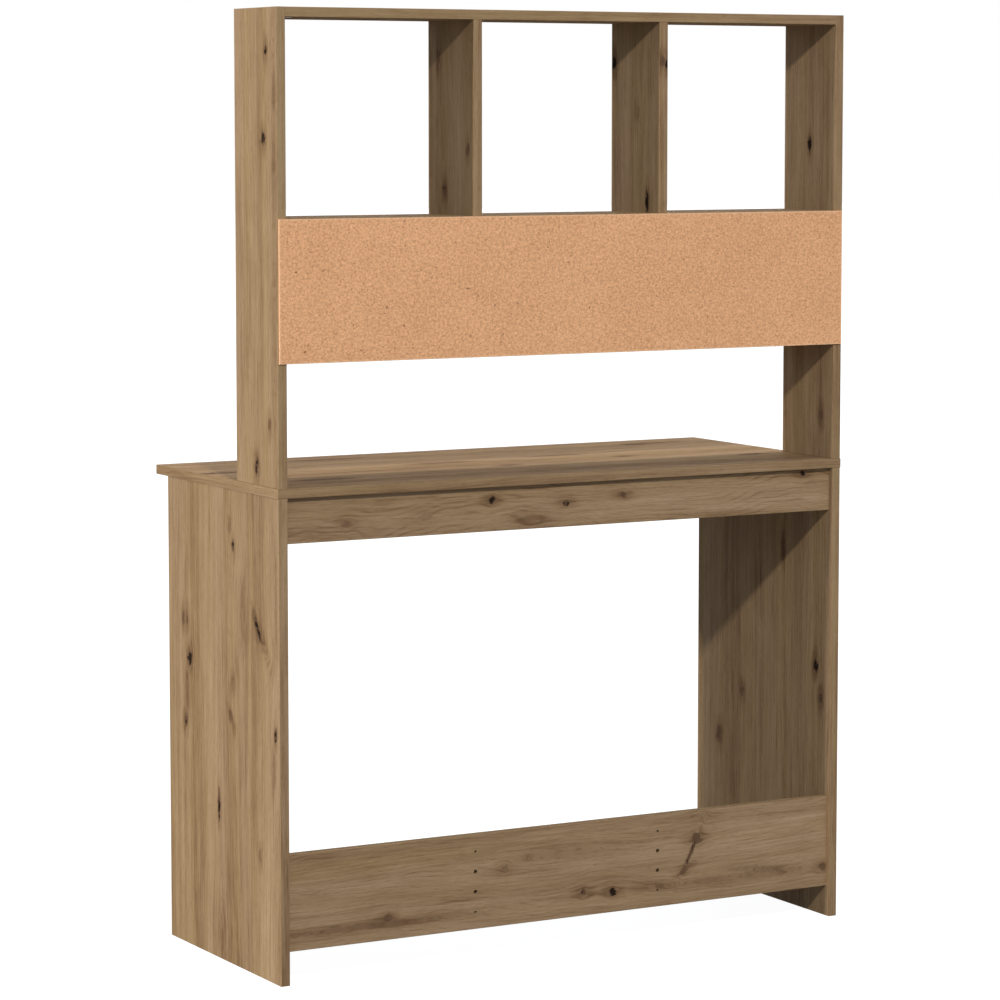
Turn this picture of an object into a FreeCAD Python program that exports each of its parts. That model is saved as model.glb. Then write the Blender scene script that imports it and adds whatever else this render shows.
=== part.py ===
"""Study desk with a hutch, made of eased boards held by hidden knock-down fittings."""
import FreeCAD, Part
import os
import Sketcher
from FreeCAD import Rotation, Vector

doc = FreeCAD.newDocument("study_desk")

# Driving dimensions in millimetres
SIZES = {
    # Desk
    "desktop_width": "1020",
    "desktop_depth": "450",
    "desktop_height": "760",
    "desktop_overhang": "1",
    "desk_side_depth": "407",
    "board": "15",
    "edge_ease": "0.5",
    "apron_height": "70",
    "apron_inset": "10",
    "rail_height": "150",
    "rail_inset": "9",
    "rail_floor_gap": "50",
    # Hutch
    "hutch_height": "720",
    "hutch_depth": "147",
    "cubby_height": "300",
    "worktop_gap": "187.5",
    "back_thickness": "3",
    "back_end_margin": "2",
    "back_edge_margin": "0.5",
    # Drilling
    "hole_pitch": "32",
    "desktop_fixing_setback": "64",
    "fit_clearance": "0.2",
    "bottom_clearance": "0.5",
    # Wooden dowels
    "dowel_diameter": "6",
    "dowel_length": "30",
    "dowel_bite": "10",
    # Cam locks
    "cam_diameter": "15",
    "cam_floor": "2.7",
    "cam_setback": "24",
    "cam_throw": "0.8",
    "cross_length": "6.4",
    "cross_width": "2",
    "cross_depth": "2.4",
    # Cam bolts
    "bolt_bite": "10",
    "bolt_root": "5",
    "bolt_shank": "6",
    "bolt_neck": "4",
    "bolt_head": "6",
    "bolt_head_length": "4",
    "bolt_head_reach": "3",
    "bolt_room": "0.4",
    "bolt_bore": "7",
    # Countersunk screws
    "screw_length": "40",
    "screw_shank": "3.5",
    "screw_hole": "4",
    "screw_head": "7",
}

# Places that follow from the driving dimensions
PLACES = {
    "rear": "(sizes.desktop_depth - sizes.back_thickness) / 2",
    "outer": "sizes.desktop_width / 2 - sizes.desktop_overhang",
    "inner": "places.outer - sizes.board",
    "span": "2 * places.inner",
    "side_middle": "places.outer - sizes.board / 2",
    "desktop_under": "sizes.desktop_height - sizes.board",
    "apron_bottom": "places.desktop_under - sizes.apron_height",
    "hutch_level": "sizes.desktop_height + sizes.hutch_height",
    "top_under": "places.hutch_level - sizes.board",
    "upper_shelf_top": "places.top_under - sizes.cubby_height",
    "upper_shelf_under": "places.upper_shelf_top - sizes.board",
    "lower_shelf_under": "sizes.desktop_height + sizes.worktop_gap",
    "divider_offset": "(places.span + sizes.board) / 6",
    "hutch_front": "places.rear - sizes.hutch_depth",
    "hutch_middle": "sizes.hutch_depth / 2",
    "screw_row": "1.5 * sizes.hole_pitch",
    "dowel_row": "0.5 * sizes.hole_pitch",
    "desk_front": "places.rear - sizes.desk_side_depth",
    "fixing_rear": "sizes.desk_side_depth - sizes.desktop_fixing_setback",
    "fixing_run": "places.fixing_rear - sizes.desktop_fixing_setback",
    "cam_bore": "sizes.board - sizes.cam_floor",
    "cam_height": "places.cam_bore - sizes.bottom_clearance",
    "head_half": "sizes.bolt_head / 2 + sizes.bolt_room",
    "neck_half": "sizes.bolt_neck / 2 + sizes.bolt_room",
    "neck_length": "sizes.cam_diameter / 2 + sizes.bolt_room - sizes.bolt_head_reach",
    "dowel_hole": "sizes.dowel_diameter + sizes.fit_clearance",
    "dowel_face_depth": "sizes.dowel_bite + sizes.bottom_clearance",
    "dowel_end": "sizes.dowel_length - sizes.dowel_bite",
    "dowel_end_depth": "places.dowel_end + sizes.bottom_clearance",
    "bolt_pilot": "sizes.bolt_root + sizes.fit_clearance",
    "bolt_pilot_depth": "sizes.bolt_bite + sizes.bottom_clearance",
    "screw_pilot": "sizes.screw_shank + sizes.fit_clearance",
    "screw_pilot_depth": "sizes.screw_length - sizes.board + sizes.bottom_clearance",
    "screw_cone": "(sizes.screw_head - sizes.screw_shank) / 2",
}


def fill_sheet(name, cells, prefix):
    """One sheet with a name, a value and an alias on each row."""
    sheet = doc.addObject("Spreadsheet::Sheet", name)
    for row, (alias, content) in enumerate(cells.items(), start=1):
        sheet.set("A%d" % row, alias)
        sheet.setAlias("B%d" % row, alias)
        sheet.set("B%d" % row, prefix + content.replace(name + ".", ""))
    doc.recompute()


fill_sheet("sizes", SIZES, "")
fill_sheet("places", PLACES, "=")
bodies = []


# Sketches, pads, pockets and patterns

def new_body(label, base, turn=Rotation()):
    """A body with its own label, turned and then carried to its base point."""
    body = doc.addObject("PartDesign::Body", label)
    body.Label = label
    body.Placement.Rotation = turn
    for axis, distance in zip("xyz", base):
        body.setExpression(".Placement.Base." + axis, distance)
    bodies.append(body)
    return body


def origin_feature(body, role):
    """The body's own origin plane or axis of that role."""
    return next(part for part in body.Origin.OriginFeatures if part.Role == role)


def sketch_on(body, plane, level):
    """An empty sketch on an origin plane, lifted by level along the plane's normal."""
    sketch = body.newObject("Sketcher::SketchObject", body.Label + "_sketch")
    sketch.AttachmentSupport = (origin_feature(body, plane), [""])
    sketch.MapMode = "FlatFace"
    sketch.setExpression(".AttachmentOffset.Base.z", level)
    return sketch


def point_at(sketch, across, up):
    """Where two expressions put a point of a sketch."""
    return Vector(float(sketch.evalExpression(across)), float(sketch.evalExpression(up)), 0)


def pin(sketch, shape, point, across, up):
    """Hold a point of a sketch by its distances from the origin, or on an axis where one is 0."""
    for kind, distance, axis in (("DistanceX", across, -2), ("DistanceY", up, -1)):
        if distance == "0":
            sketch.addConstraint(Sketcher.Constraint("PointOnObject", shape, point, axis))
        else:
            start = float(sketch.evalExpression(distance))
            rule = sketch.addConstraint(Sketcher.Constraint(kind, -1, 1, shape, point, start))
            sketch.setExpression("Constraints[%d]" % rule, distance)


def circle(sketch, across, up, diameter):
    """A circle held by its centre and its diameter."""
    size = float(sketch.evalExpression(diameter))
    centre = point_at(sketch, across, up)
    ring = sketch.addGeometry(Part.Circle(centre, Vector(0, 0, 1), size / 2))
    pin(sketch, ring, 3, across, up)
    rule = sketch.addConstraint(Sketcher.Constraint("Diameter", ring, size))
    sketch.setExpression("Constraints[%d]" % rule, diameter)


def polygon(sketch, corners):
    """A closed outline of straight lines, held at every corner."""
    points = [point_at(sketch, across, up) for across, up in corners]
    ends = points[1:] + points[:1]
    lines = [sketch.addGeometry(Part.LineSegment(*pair)) for pair in zip(points, ends)]
    for line, following in zip(lines, lines[1:] + lines[:1]):
        sketch.addConstraint(Sketcher.Constraint("Coincident", line, 2, following, 1))
    for line, (across, up) in zip(lines, corners):
        pin(sketch, line, 1, across, up)


def rectangle(sketch, left, low, right, high):
    """An upright rectangle between two opposite corners."""
    polygon(sketch, ((left, low), (right, low), (right, high), (left, high)))


def octagon(sketch, across, up, diameter):
    """An eight-sided outline as wide across its flats as the diameter."""
    flat = "(%s) / 2" % diameter
    tip = "(%s) / 2 * tan(22.5 deg)" % diameter
    steps = (
        (" + " + flat, " - " + tip), (" + " + flat, " + " + tip),
        (" + " + tip, " + " + flat), (" - " + tip, " + " + flat),
        (" - " + flat, " + " + tip), (" - " + flat, " - " + tip),
        (" - " + tip, " - " + flat), (" + " + tip, " - " + flat),
    )
    polygon(sketch, [(across + right, up + rise) for right, rise in steps])


def pad(body, sketch, length, taper=0):
    """Raise a sketch along its normal, with its sides drawn in where the taper is negative."""
    solid = body.newObject("PartDesign::Pad", body.Label + "_pad")
    solid.Profile = sketch
    solid.TaperAngle = taper
    solid.setExpression("Length", length)
    doc.recompute()
    return solid


def pocket(body, sketch, depth, along, taper=0):
    """Cut a sketch along its normal or against it, and see that it took material away."""
    before = body.Shape.Volume
    cut = body.newObject("PartDesign::Pocket", body.Label + "_pocket")
    cut.Profile = sketch
    cut.Reversed = along
    cut.TaperAngle = taper
    cut.setExpression("Length", depth)
    doc.recompute()
    if body.Shape.Volume >= before:
        raise RuntimeError("a pocket cut nothing in " + body.Label)


def drill(body, plane, level, along, diameter, depth, centres, outline=circle, taper=0):
    """Sink a set of equal holes."""
    sketch = sketch_on(body, plane, level)
    for across, up in centres:
        outline(sketch, across, up, diameter)
    pocket(body, sketch, depth, along, taper)


def socket(body, plane, level, along, diameter, depth, centres):
    """Sink holes that fittings fill and hide, eight-sided like those fittings."""
    drill(body, plane, level, along, diameter, depth, centres, octagon)


def repeat(body, axis, spacing):
    """A second copy of everything in the body, at spacing along one of its axes."""
    row = body.newObject("PartDesign::LinearPattern", body.Label + "_row")
    row.TransformMode = "Whole shape"
    row.Direction = (origin_feature(body, axis), [""])
    row.setExpression("Length", spacing)
    row.Occurrences = 2
    body.Tip = row
    doc.recompute()


def mirror(body, plane):
    """The same fittings at the other end of the desk."""
    twin = body.newObject("PartDesign::Mirrored", body.Label + "_twin")
    twin.TransformMode = "Whole shape"
    twin.MirrorPlane = (origin_feature(body, plane), [""])
    body.Tip = twin
    doc.recompute()


# Boards: local X, Y and Z run as on the desk, from the board's low corner. A board on the XZ plane is
# padded towards the front, so its rear face is at local Y 0.

BOARD = "sizes.board"
HALF_BOARD = "sizes.board / 2"
COUNTERSINK_TAPER = -45
AXES = {"x": Vector(1, 0, 0), "y": Vector(0, 1, 0), "z": Vector(0, 0, 1)}
PARALLEL = 1e-6


def edges_along(shape, directions):
    """The names of a slab's straight edges that run along the given axes."""
    names = []
    for number, edge in enumerate(shape.Edges, start=1):
        run = edge.tangentAt(edge.FirstParameter)
        if any(run.cross(AXES[axis]).Length < PARALLEL for axis in directions):
            names.append("Edge%d" % number)
    return names


def board(label, plane, width, height, thickness, base, eased):
    """A board sawn to width by height, with its banded edges eased along the given axes."""
    body = new_body(label, base)
    sketch = sketch_on(body, plane, "0")
    rectangle(sketch, "0", "0", width, height)
    slab = pad(body, sketch, thickness)
    if eased:
        easing = body.newObject("PartDesign::Chamfer", label + "_eased")
        easing.Base = (slab, edges_along(slab.Shape, eased))
        easing.setExpression("Size", "sizes.edge_ease")
        doc.recompute()
    return body


def two_rows(middle, row):
    """Two places, a row to each side of a middle line."""
    return ["%s - %s" % (middle, row), "%s + %s" % (middle, row)]


def divider_holes(middle, row):
    """Four centres on the two divider lines of a spanning board."""
    columns = two_rows("places.span / 2", "places.divider_offset")
    return [(column, place) for column in columns for place in two_rows(middle, row)]


def end_sockets(body, diameter, depth, centre):
    """The same hidden hole in both ends of a spanning board."""
    socket(body, "YZ_Plane", "0", True, diameter, depth, [centre])
    socket(body, "YZ_Plane", "places.span", False, diameter, depth, [centre])


def end_fittings(body, face_plane, face_level, along, cam_up, cam_end, dowel_end):
    """Cam bores in a spanning board's hidden face, and bolt and dowel holes in its ends."""
    cams = [("sizes.cam_setback", cam_up), ("places.span - sizes.cam_setback", cam_up)]
    drill(body, face_plane, face_level, along, "sizes.cam_diameter", "places.cam_bore", cams)
    end_sockets(body, "sizes.bolt_bore", "sizes.cam_setback", cam_end)
    end_sockets(body, "places.dowel_hole", "places.dowel_end_depth", dowel_end)


def screw_holes(body, centres):
    """Screw holes through a flat board, countersunk in its underside."""
    socket(body, "XY_Plane", "0", True, "sizes.screw_hole", BOARD, centres)
    mouth = "sizes.screw_head + sizes.fit_clearance"
    drill(body, "XY_Plane", "0", True, mouth, "places.screw_cone", centres, octagon, COUNTERSINK_TAPER)


# Desk sides, with cam bores in the inner faces and bolt bores in the top edges
APRON_CAM = "sizes.apron_height / 2 + places.dowel_row"
APRON_DOWEL = "sizes.apron_height / 2 - places.dowel_row"
RAIL_CAM = "sizes.rail_height / 2 + sizes.hole_pitch"
RAIL_DOWEL = "sizes.rail_height / 2 - sizes.hole_pitch"
APRON_LINE = "sizes.desk_side_depth - sizes.apron_inset - sizes.board / 2"
RAIL_LINE = "sizes.desk_side_depth - sizes.rail_inset - sizes.board / 2"
FIXINGS = ("sizes.desktop_fixing_setback", "places.fixing_rear")
CAM_LEVEL = "places.desktop_under - sizes.cam_setback"
LEFT_AND_RIGHT = (("left", "-places.outer", BOARD, False), ("right", "places.inner", "0", True))

for hand, low_face, inner_face, inward in LEFT_AND_RIGHT:
    side = board(
        "desk_side_" + hand, "YZ_Plane", "sizes.desk_side_depth", "places.desktop_under", BOARD,
        (low_face, "places.desk_front", "0"), "z",
    )
    cams = [(line, CAM_LEVEL) for line in FIXINGS]
    drill(side, "YZ_Plane", inner_face, inward, "sizes.cam_diameter", "places.cam_bore", cams)
    shafts = [(HALF_BOARD, line) for line in FIXINGS]
    socket(side, "XY_Plane", "places.desktop_under", False, "sizes.bolt_bore", "sizes.cam_setback", shafts)
    pilots = [
        (APRON_LINE, "places.apron_bottom + " + APRON_CAM),
        (RAIL_LINE, "sizes.rail_floor_gap + " + RAIL_CAM),
    ]
    socket(side, "YZ_Plane", inner_face, inward, "places.bolt_pilot", "places.bolt_pilot_depth", pilots)
    plugs = [
        (APRON_LINE, "places.apron_bottom + " + APRON_DOWEL),
        (RAIL_LINE, "sizes.rail_floor_gap + " + RAIL_DOWEL),
    ]
    socket(side, "YZ_Plane", inner_face, inward, "places.dowel_hole", "places.dowel_face_depth", plugs)

# Desktop, drilled from below for the cam bolts and for the screws into the hutch sides
desktop = board(
    "desktop", "XY_Plane", "sizes.desktop_width", "sizes.desktop_depth", BOARD,
    ("-sizes.desktop_width / 2", "places.rear - sizes.desktop_depth", "places.desktop_under"), "xy",
)
SIDE_LINES = two_rows("sizes.desktop_width / 2", "places.side_middle")
FRONT_OVERHANG = "sizes.desktop_depth - sizes.desk_side_depth"
HUTCH_LINE = "sizes.desktop_depth - places.hutch_middle"
pilots = [(line, "%s + %s" % (FRONT_OVERHANG, place)) for line in SIDE_LINES for place in FIXINGS]
socket(desktop, "XY_Plane", "0", True, "places.bolt_pilot", "places.bolt_pilot_depth", pilots)
screw_rows = two_rows(HUTCH_LINE, "places.screw_row")
screw_holes(desktop, [(line, row) for line in SIDE_LINES for row in screw_rows])

# Rear apron and rear bottom rail, with the cam bores in their front faces
apron = board(
    "rear_apron", "XZ_Plane", "places.span", "sizes.apron_height", BOARD,
    ("-places.inner", "places.rear - sizes.apron_inset", "places.apron_bottom"), "x",
)
rail = board(
    "rear_bottom_rail", "XZ_Plane", "places.span", "sizes.rail_height", BOARD,
    ("-places.inner", "places.rear - sizes.rail_inset", "sizes.rail_floor_gap"), "x",
)
for stretcher, cam, dowel in ((apron, APRON_CAM, APRON_DOWEL), (rail, RAIL_CAM, RAIL_DOWEL)):
    end_fittings(
        stretcher, "XZ_Plane", BOARD, False, cam, ("-sizes.board / 2", cam), ("-sizes.board / 2", dowel)
    )

# Spare divider holes in the rail, which is drilled like the upper shelf
RAIL_MIDDLE = "sizes.rail_height / 2"
spare_dowels = divider_holes(RAIL_MIDDLE, "places.dowel_row")
spare_screws = divider_holes(RAIL_MIDDLE, "places.screw_row")
drill(rail, "XZ_Plane", "0", True, "places.dowel_hole", "places.dowel_face_depth", spare_dowels)
drill(rail, "XZ_Plane", "0", True, "sizes.screw_hole", BOARD, spare_screws)

# Hutch sides, standing on the desktop
SHELF_LEVELS = {
    "hutch_top": "places.top_under",
    "hutch_upper_shelf": "places.upper_shelf_under",
    "hutch_lower_shelf": "places.lower_shelf_under",
}
SHELF_CAM = "places.hutch_middle + sizes.hole_pitch"
SHELF_DOWEL = "places.hutch_middle - sizes.hole_pitch"
SCREW_LINES = two_rows("places.hutch_middle", "places.screw_row")
DOWEL_LINES = two_rows("places.hutch_middle", "places.dowel_row")

for hand, low_face, inner_face, inward in LEFT_AND_RIGHT:
    side = board(
        "hutch_side_" + hand, "YZ_Plane", "sizes.hutch_depth", "sizes.hutch_height", BOARD,
        (low_face, "places.hutch_front", "sizes.desktop_height"), "yz",
    )
    heights = [level + " + sizes.board / 2 - sizes.desktop_height" for level in SHELF_LEVELS.values()]
    pilots = [(SHELF_CAM, height) for height in heights]
    socket(side, "YZ_Plane", inner_face, inward, "places.bolt_pilot", "places.bolt_pilot_depth", pilots)
    plugs = [(SHELF_DOWEL, height) for height in heights]
    socket(side, "YZ_Plane", inner_face, inward, "places.dowel_hole", "places.dowel_face_depth", plugs)
    screw_pilots = [(HALF_BOARD, line) for line in SCREW_LINES]
    socket(side, "XY_Plane", "0", True, "places.screw_pilot", "places.screw_pilot_depth", screw_pilots)

# Hutch top and shelves, with the cam bores in their undersides
shelves = {}
for label, level in SHELF_LEVELS.items():
    shelves[label] = board(
        label, "XY_Plane", "places.span", "sizes.hutch_depth", BOARD,
        ("-places.inner", "places.hutch_front", level), "x",
    )
    end_fittings(
        shelves[label], "XY_Plane", "0", True, SHELF_CAM, (SHELF_CAM, HALF_BOARD), (SHELF_DOWEL, HALF_BOARD)
    )

upper_shelf = shelves["hutch_upper_shelf"]
dowel_holes = divider_holes("places.hutch_middle", "places.dowel_row")
socket(
    shelves["hutch_top"], "XY_Plane", "0", True, "places.dowel_hole", "places.dowel_face_depth", dowel_holes
)
socket(upper_shelf, "XY_Plane", BOARD, False, "places.dowel_hole", "places.dowel_face_depth", dowel_holes)
screw_holes(upper_shelf, divider_holes("places.hutch_middle", "places.screw_row"))

# Dividers between the cubbies, held by dowels at both ends and by screws from below
for label, middle in (
    ("hutch_divider_left", "-places.divider_offset"),
    ("hutch_divider_right", "places.divider_offset"),
):
    divider = board(
        label, "YZ_Plane", "sizes.hutch_depth", "sizes.cubby_height", BOARD,
        (middle + " - sizes.board / 2", "places.hutch_front", "places.upper_shelf_top"), "z",
    )
    dowel_holes = [(HALF_BOARD, line) for line in DOWEL_LINES]
    screw_pilots = [(HALF_BOARD, line) for line in SCREW_LINES]
    socket(divider, "XY_Plane", "0", True, "places.dowel_hole", "places.dowel_end_depth", dowel_holes)
    socket(
        divider, "XY_Plane", "sizes.cubby_height", False, "places.dowel_hole", "places.dowel_end_depth",
        dowel_holes,
    )
    socket(divider, "XY_Plane", "0", True, "places.screw_pilot", "places.screw_pilot_depth", screw_pilots)

# Hardboard strip that closes the back of the long compartment
board(
    "hutch_back_panel", "XZ_Plane", "2 * (places.outer - sizes.back_end_margin)",
    "places.upper_shelf_top - places.lower_shelf_under - 2 * sizes.back_edge_margin",
    "sizes.back_thickness",
    (
        "sizes.back_end_margin - places.outer",
        "places.rear + sizes.back_thickness",
        "places.lower_shelf_under + sizes.back_edge_margin",
    ),
    "",
)


# Fittings: a body's own Z axis is the fitting's axis

UPRIGHT = Rotation()
ALONG_DESK = Rotation(Vector(0, 1, 0), Vector(0, 0, 1), Vector(1, 0, 0), "ZXY")
CAM_TO_REAR = Rotation(Vector(1, 0, 0), -90)
CAM_TO_SIDE = Rotation(Vector(0, 0, 1), Vector(0, -1, 0), Vector(1, 0, 0), "ZXY")


def cam_lock(label, base, turn, centre, level):
    """A round barrel, driver face at level, that grips the head of a bolt coming in along +X.

    The chamber's slanted end wall draws the head in as the barrel turns, the channel round one half
    of the barrel lets the bolt's neck past, and the chamber's open end is the mouth for the head.
    """
    body = new_body(label, base, turn)
    barrel = sketch_on(body, "XY_Plane", level)
    circle(barrel, centre, "0", "sizes.cam_diameter - sizes.fit_clearance")
    pad(body, barrel, "places.cam_height")
    bolt_axis = level + " + sizes.board / 2"
    beyond = "sizes.cam_diameter"
    wall = centre + " + sizes.bolt_head_reach + sizes.bolt_room"
    chamber = sketch_on(body, "XY_Plane", bolt_axis + " + places.head_half")
    polygon(chamber, (
        ("%s - %s" % (centre, beyond), "-places.head_half"),
        (wall, "-places.head_half"),
        (wall + " + sizes.cam_throw", "places.head_half"),
        ("%s - %s" % (centre, beyond), "places.head_half"),
    ))
    pocket(body, chamber, "2 * places.head_half", False)
    channel = sketch_on(body, "XY_Plane", bolt_axis + " + places.neck_half")
    rectangle(
        channel, "%s - %s" % (centre, beyond), "-places.neck_half", "%s + %s" % (centre, beyond), beyond
    )
    pocket(body, channel, "2 * places.neck_half", False)
    recess = sketch_on(body, "XY_Plane", level)
    arm = "sizes.cross_length / 2"
    rib = "sizes.cross_width / 2"
    polygon(recess, (
        ("%s + %s" % (centre, arm), "0"), ("%s + %s" % (centre, rib), rib),
        (centre, arm), ("%s - %s" % (centre, rib), rib),
        ("%s - %s" % (centre, arm), "0"), ("%s - %s" % (centre, rib), "-" + rib),
        (centre, "-" + arm), ("%s + %s" % (centre, rib), "-" + rib),
    ))
    pocket(body, recess, "sizes.cross_depth", True)
    return body


def stepped(label, base, turn, steps):
    """A fitting hidden in the boards, of eight-sided steps: start, length and width of each."""
    body = new_body(label, base, turn)
    for start, length, width in steps:
        sketch = sketch_on(body, "XY_Plane", start)
        octagon(sketch, "0", "0", width)
        pad(body, sketch, length)
    return body


def cam_bolt(label, base, turn, joint):
    """A bolt screwed in beyond the joint face, with its shoulder on it and its head in the cam lock."""
    head_face = joint + " - sizes.cam_setback + sizes.bolt_head_reach"
    shoulder = head_face + " + places.neck_length"
    return stepped(label, base, turn, (
        (head_face + " - sizes.bolt_head_length", "sizes.bolt_head_length", "sizes.bolt_head"),
        (head_face, "places.neck_length", "sizes.bolt_neck"),
        (shoulder, "%s - (%s)" % (joint, shoulder), "sizes.bolt_shank"),
        (joint, "sizes.bolt_bite", "sizes.bolt_root"),
    ))


def dowel(label, base, turn, start):
    """A wooden dowel from its lower end."""
    return stepped(label, base, turn, ((start, "sizes.dowel_length", "sizes.dowel_diameter"),))


def screw(label, base):
    """A countersunk screw driven upward, its head flush with the underside that it enters."""
    body = new_body(label, base)
    head = sketch_on(body, "XY_Plane", "0")
    octagon(head, "0", "0", "sizes.screw_head")
    pad(body, head, "places.screw_cone", COUNTERSINK_TAPER)
    shank = sketch_on(body, "XY_Plane", "places.screw_cone")
    octagon(shank, "0", "0", "sizes.screw_shank")
    pad(body, shank, "sizes.screw_length - places.screw_cone")
    return body


# Fittings of the desktop, two in each desk side
front_fixing = "places.desk_front + sizes.desktop_fixing_setback"
rear_fixing = "places.desk_front + places.fixing_rear"
locks = cam_lock("desktop_cam_locks", ("0", rear_fixing, CAM_LEVEL), CAM_TO_SIDE, "0", "places.inner")
repeat(locks, "Y_Axis", "places.fixing_run")
mirror(locks, "XY_Plane")
bolt_base = ("-places.side_middle", front_fixing, "0")
bolts = cam_bolt("desktop_cam_bolts", bolt_base, UPRIGHT, "places.desktop_under")
repeat(bolts, "Y_Axis", "places.fixing_run")
repeat(bolts, "X_Axis", "2 * places.side_middle")

# Fittings of the boards that span the desk, one of each at either end
CAM_CENTRE = "places.inner - sizes.cam_setback"
DOWEL_START = "places.inner - places.dowel_end"


def spanning_fittings(name, lock_base, lock_turn, bolt_base, dowel_base):
    """Cam locks, cam bolts and dowels for the two ends of one board."""
    mirror(cam_lock(name + "_cam_locks", lock_base, lock_turn, CAM_CENTRE, "0"), "YZ_Plane")
    mirror(cam_bolt(name + "_cam_bolts", bolt_base, ALONG_DESK, "places.inner"), "XY_Plane")
    mirror(dowel(name + "_dowels", dowel_base, ALONG_DESK, DOWEL_START), "XY_Plane")


for name, inset, bottom, cam, dowel_up in (
    ("rear_apron", "sizes.apron_inset", "places.apron_bottom", APRON_CAM, APRON_DOWEL),
    ("rear_bottom_rail", "sizes.rail_inset", "sizes.rail_floor_gap", RAIL_CAM, RAIL_DOWEL),
):
    front_face = "places.rear - %s - sizes.board" % inset
    middle = front_face + " + sizes.board / 2"
    cam_up = "%s + %s" % (bottom, cam)
    spanning_fittings(
        name, ("0", front_face, cam_up), CAM_TO_REAR, ("0", middle, cam_up),
        ("0", middle, "%s + %s" % (bottom, dowel_up)),
    )

for name, level in SHELF_LEVELS.items():
    cam_line = "places.hutch_front + " + SHELF_CAM
    middle = level + " + sizes.board / 2"
    spanning_fittings(
        name, ("0", cam_line, level), UPRIGHT, ("0", cam_line, middle),
        ("0", "places.hutch_front + " + SHELF_DOWEL, middle),
    )

# Dowels and screws of the dividers, and the screws that hold the hutch sides to the desktop
for label, start in (
    ("divider_lower_dowels", "places.upper_shelf_top - sizes.dowel_bite"),
    ("divider_upper_dowels", "places.top_under - places.dowel_end"),
):
    base = ("-places.divider_offset", "places.hutch_front + " + DOWEL_LINES[0], "0")
    row = dowel(label, base, UPRIGHT, start)
    repeat(row, "Y_Axis", "2 * places.dowel_row")
    repeat(row, "X_Axis", "2 * places.divider_offset")

for label, offset, level in (
    ("divider_screws", "places.divider_offset", "places.upper_shelf_under"),
    ("hutch_side_screws", "places.side_middle", "places.desktop_under"),
):
    row = screw(label, ("-" + offset, "places.hutch_front + " + SCREW_LINES[0], level))
    repeat(row, "Y_Axis", "2 * places.screw_row")
    repeat(row, "X_Axis", "2 * " + offset)

doc.recompute()
for thing in doc.Objects:
    if {"Invalid", "Error"} & set(thing.State):
        raise RuntimeError("%s failed: %s" % (thing.Label, thing.State))
for body in bodies:
    if body.Shape.isNull() or not body.Shape.isValid() or not body.Shape.Solids:
        raise RuntimeError(body.Label + " has no valid solid")

os.makedirs("parts", exist_ok=True)
for body in bodies:
    body.Shape.exportStep("parts/%s.step" % body.Label)
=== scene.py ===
import math

import bmesh
import bpy
from mathutils import Matrix, Vector


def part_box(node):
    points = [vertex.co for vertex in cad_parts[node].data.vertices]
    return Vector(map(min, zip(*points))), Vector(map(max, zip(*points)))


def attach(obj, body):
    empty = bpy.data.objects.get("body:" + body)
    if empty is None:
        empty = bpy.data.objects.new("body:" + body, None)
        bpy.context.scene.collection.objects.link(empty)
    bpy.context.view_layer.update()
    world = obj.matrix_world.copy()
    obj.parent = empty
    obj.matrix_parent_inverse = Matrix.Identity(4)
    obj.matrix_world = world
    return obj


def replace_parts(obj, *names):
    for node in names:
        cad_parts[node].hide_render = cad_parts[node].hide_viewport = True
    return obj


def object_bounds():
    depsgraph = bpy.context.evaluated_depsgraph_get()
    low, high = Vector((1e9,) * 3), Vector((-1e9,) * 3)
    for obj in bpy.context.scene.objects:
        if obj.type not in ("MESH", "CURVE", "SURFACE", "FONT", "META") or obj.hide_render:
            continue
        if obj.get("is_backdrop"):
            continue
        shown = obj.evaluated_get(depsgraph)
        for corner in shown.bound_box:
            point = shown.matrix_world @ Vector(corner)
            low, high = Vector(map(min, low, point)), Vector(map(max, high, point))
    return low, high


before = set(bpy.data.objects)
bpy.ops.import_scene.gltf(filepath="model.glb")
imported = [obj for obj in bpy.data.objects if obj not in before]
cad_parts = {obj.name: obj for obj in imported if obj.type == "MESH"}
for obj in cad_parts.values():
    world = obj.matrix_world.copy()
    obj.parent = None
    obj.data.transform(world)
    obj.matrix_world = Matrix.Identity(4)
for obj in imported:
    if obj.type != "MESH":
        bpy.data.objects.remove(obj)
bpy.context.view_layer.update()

# Desk sides
# Two full-depth uprights of 15 mm particle board, faced on both sides with a matt print of knotty oak
# whose grain runs upward. Bands of the same print are glued along the edges, and the raw board shows
# only in the drilled holes.
MM = 0.001


def add_node(tree, kind, feeds=(), **settings):
    """A shader node with its settings made, and its inputs fed by sockets or set to values."""
    made = tree.nodes.new(kind)
    for name, value in settings.items():
        setattr(made, name, value)
    for socket, feed in dict(feeds).items():
        if isinstance(feed, bpy.types.NodeSocket):
            tree.links.new(feed, made.inputs[socket])
        else:
            made.inputs[socket].default_value = feed
    return made


def calc(tree, operation, *terms):
    """One sum on numbers or sockets."""
    return add_node(tree, "ShaderNodeMath", enumerate(terms), operation=operation).outputs[0]


def parted(tree, vector):
    """The three numbers of a place or a facing."""
    return add_node(tree, "ShaderNodeSeparateXYZ", {0: vector}).outputs


def joined(tree, *numbers):
    """A place or a facing from its three numbers."""
    return add_node(tree, "ShaderNodeCombineXYZ", enumerate(numbers)).outputs[0]


def ramp_between(tree, value, low, high):
    """A value eased from 0 at low to 1 at high."""
    feeds = {"Value": value, "From Min": low, "From Max": high}
    return add_node(tree, "ShaderNodeMapRange", feeds, interpolation_type="SMOOTHSTEP").outputs[0]


def choose(tree, factor, first, second):
    """The first number where the factor is 0, the second where it is 1."""
    feeds = {0: factor, 2: first, 3: second}
    return add_node(tree, "ShaderNodeMix", feeds, data_type="FLOAT").outputs[0]


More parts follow.
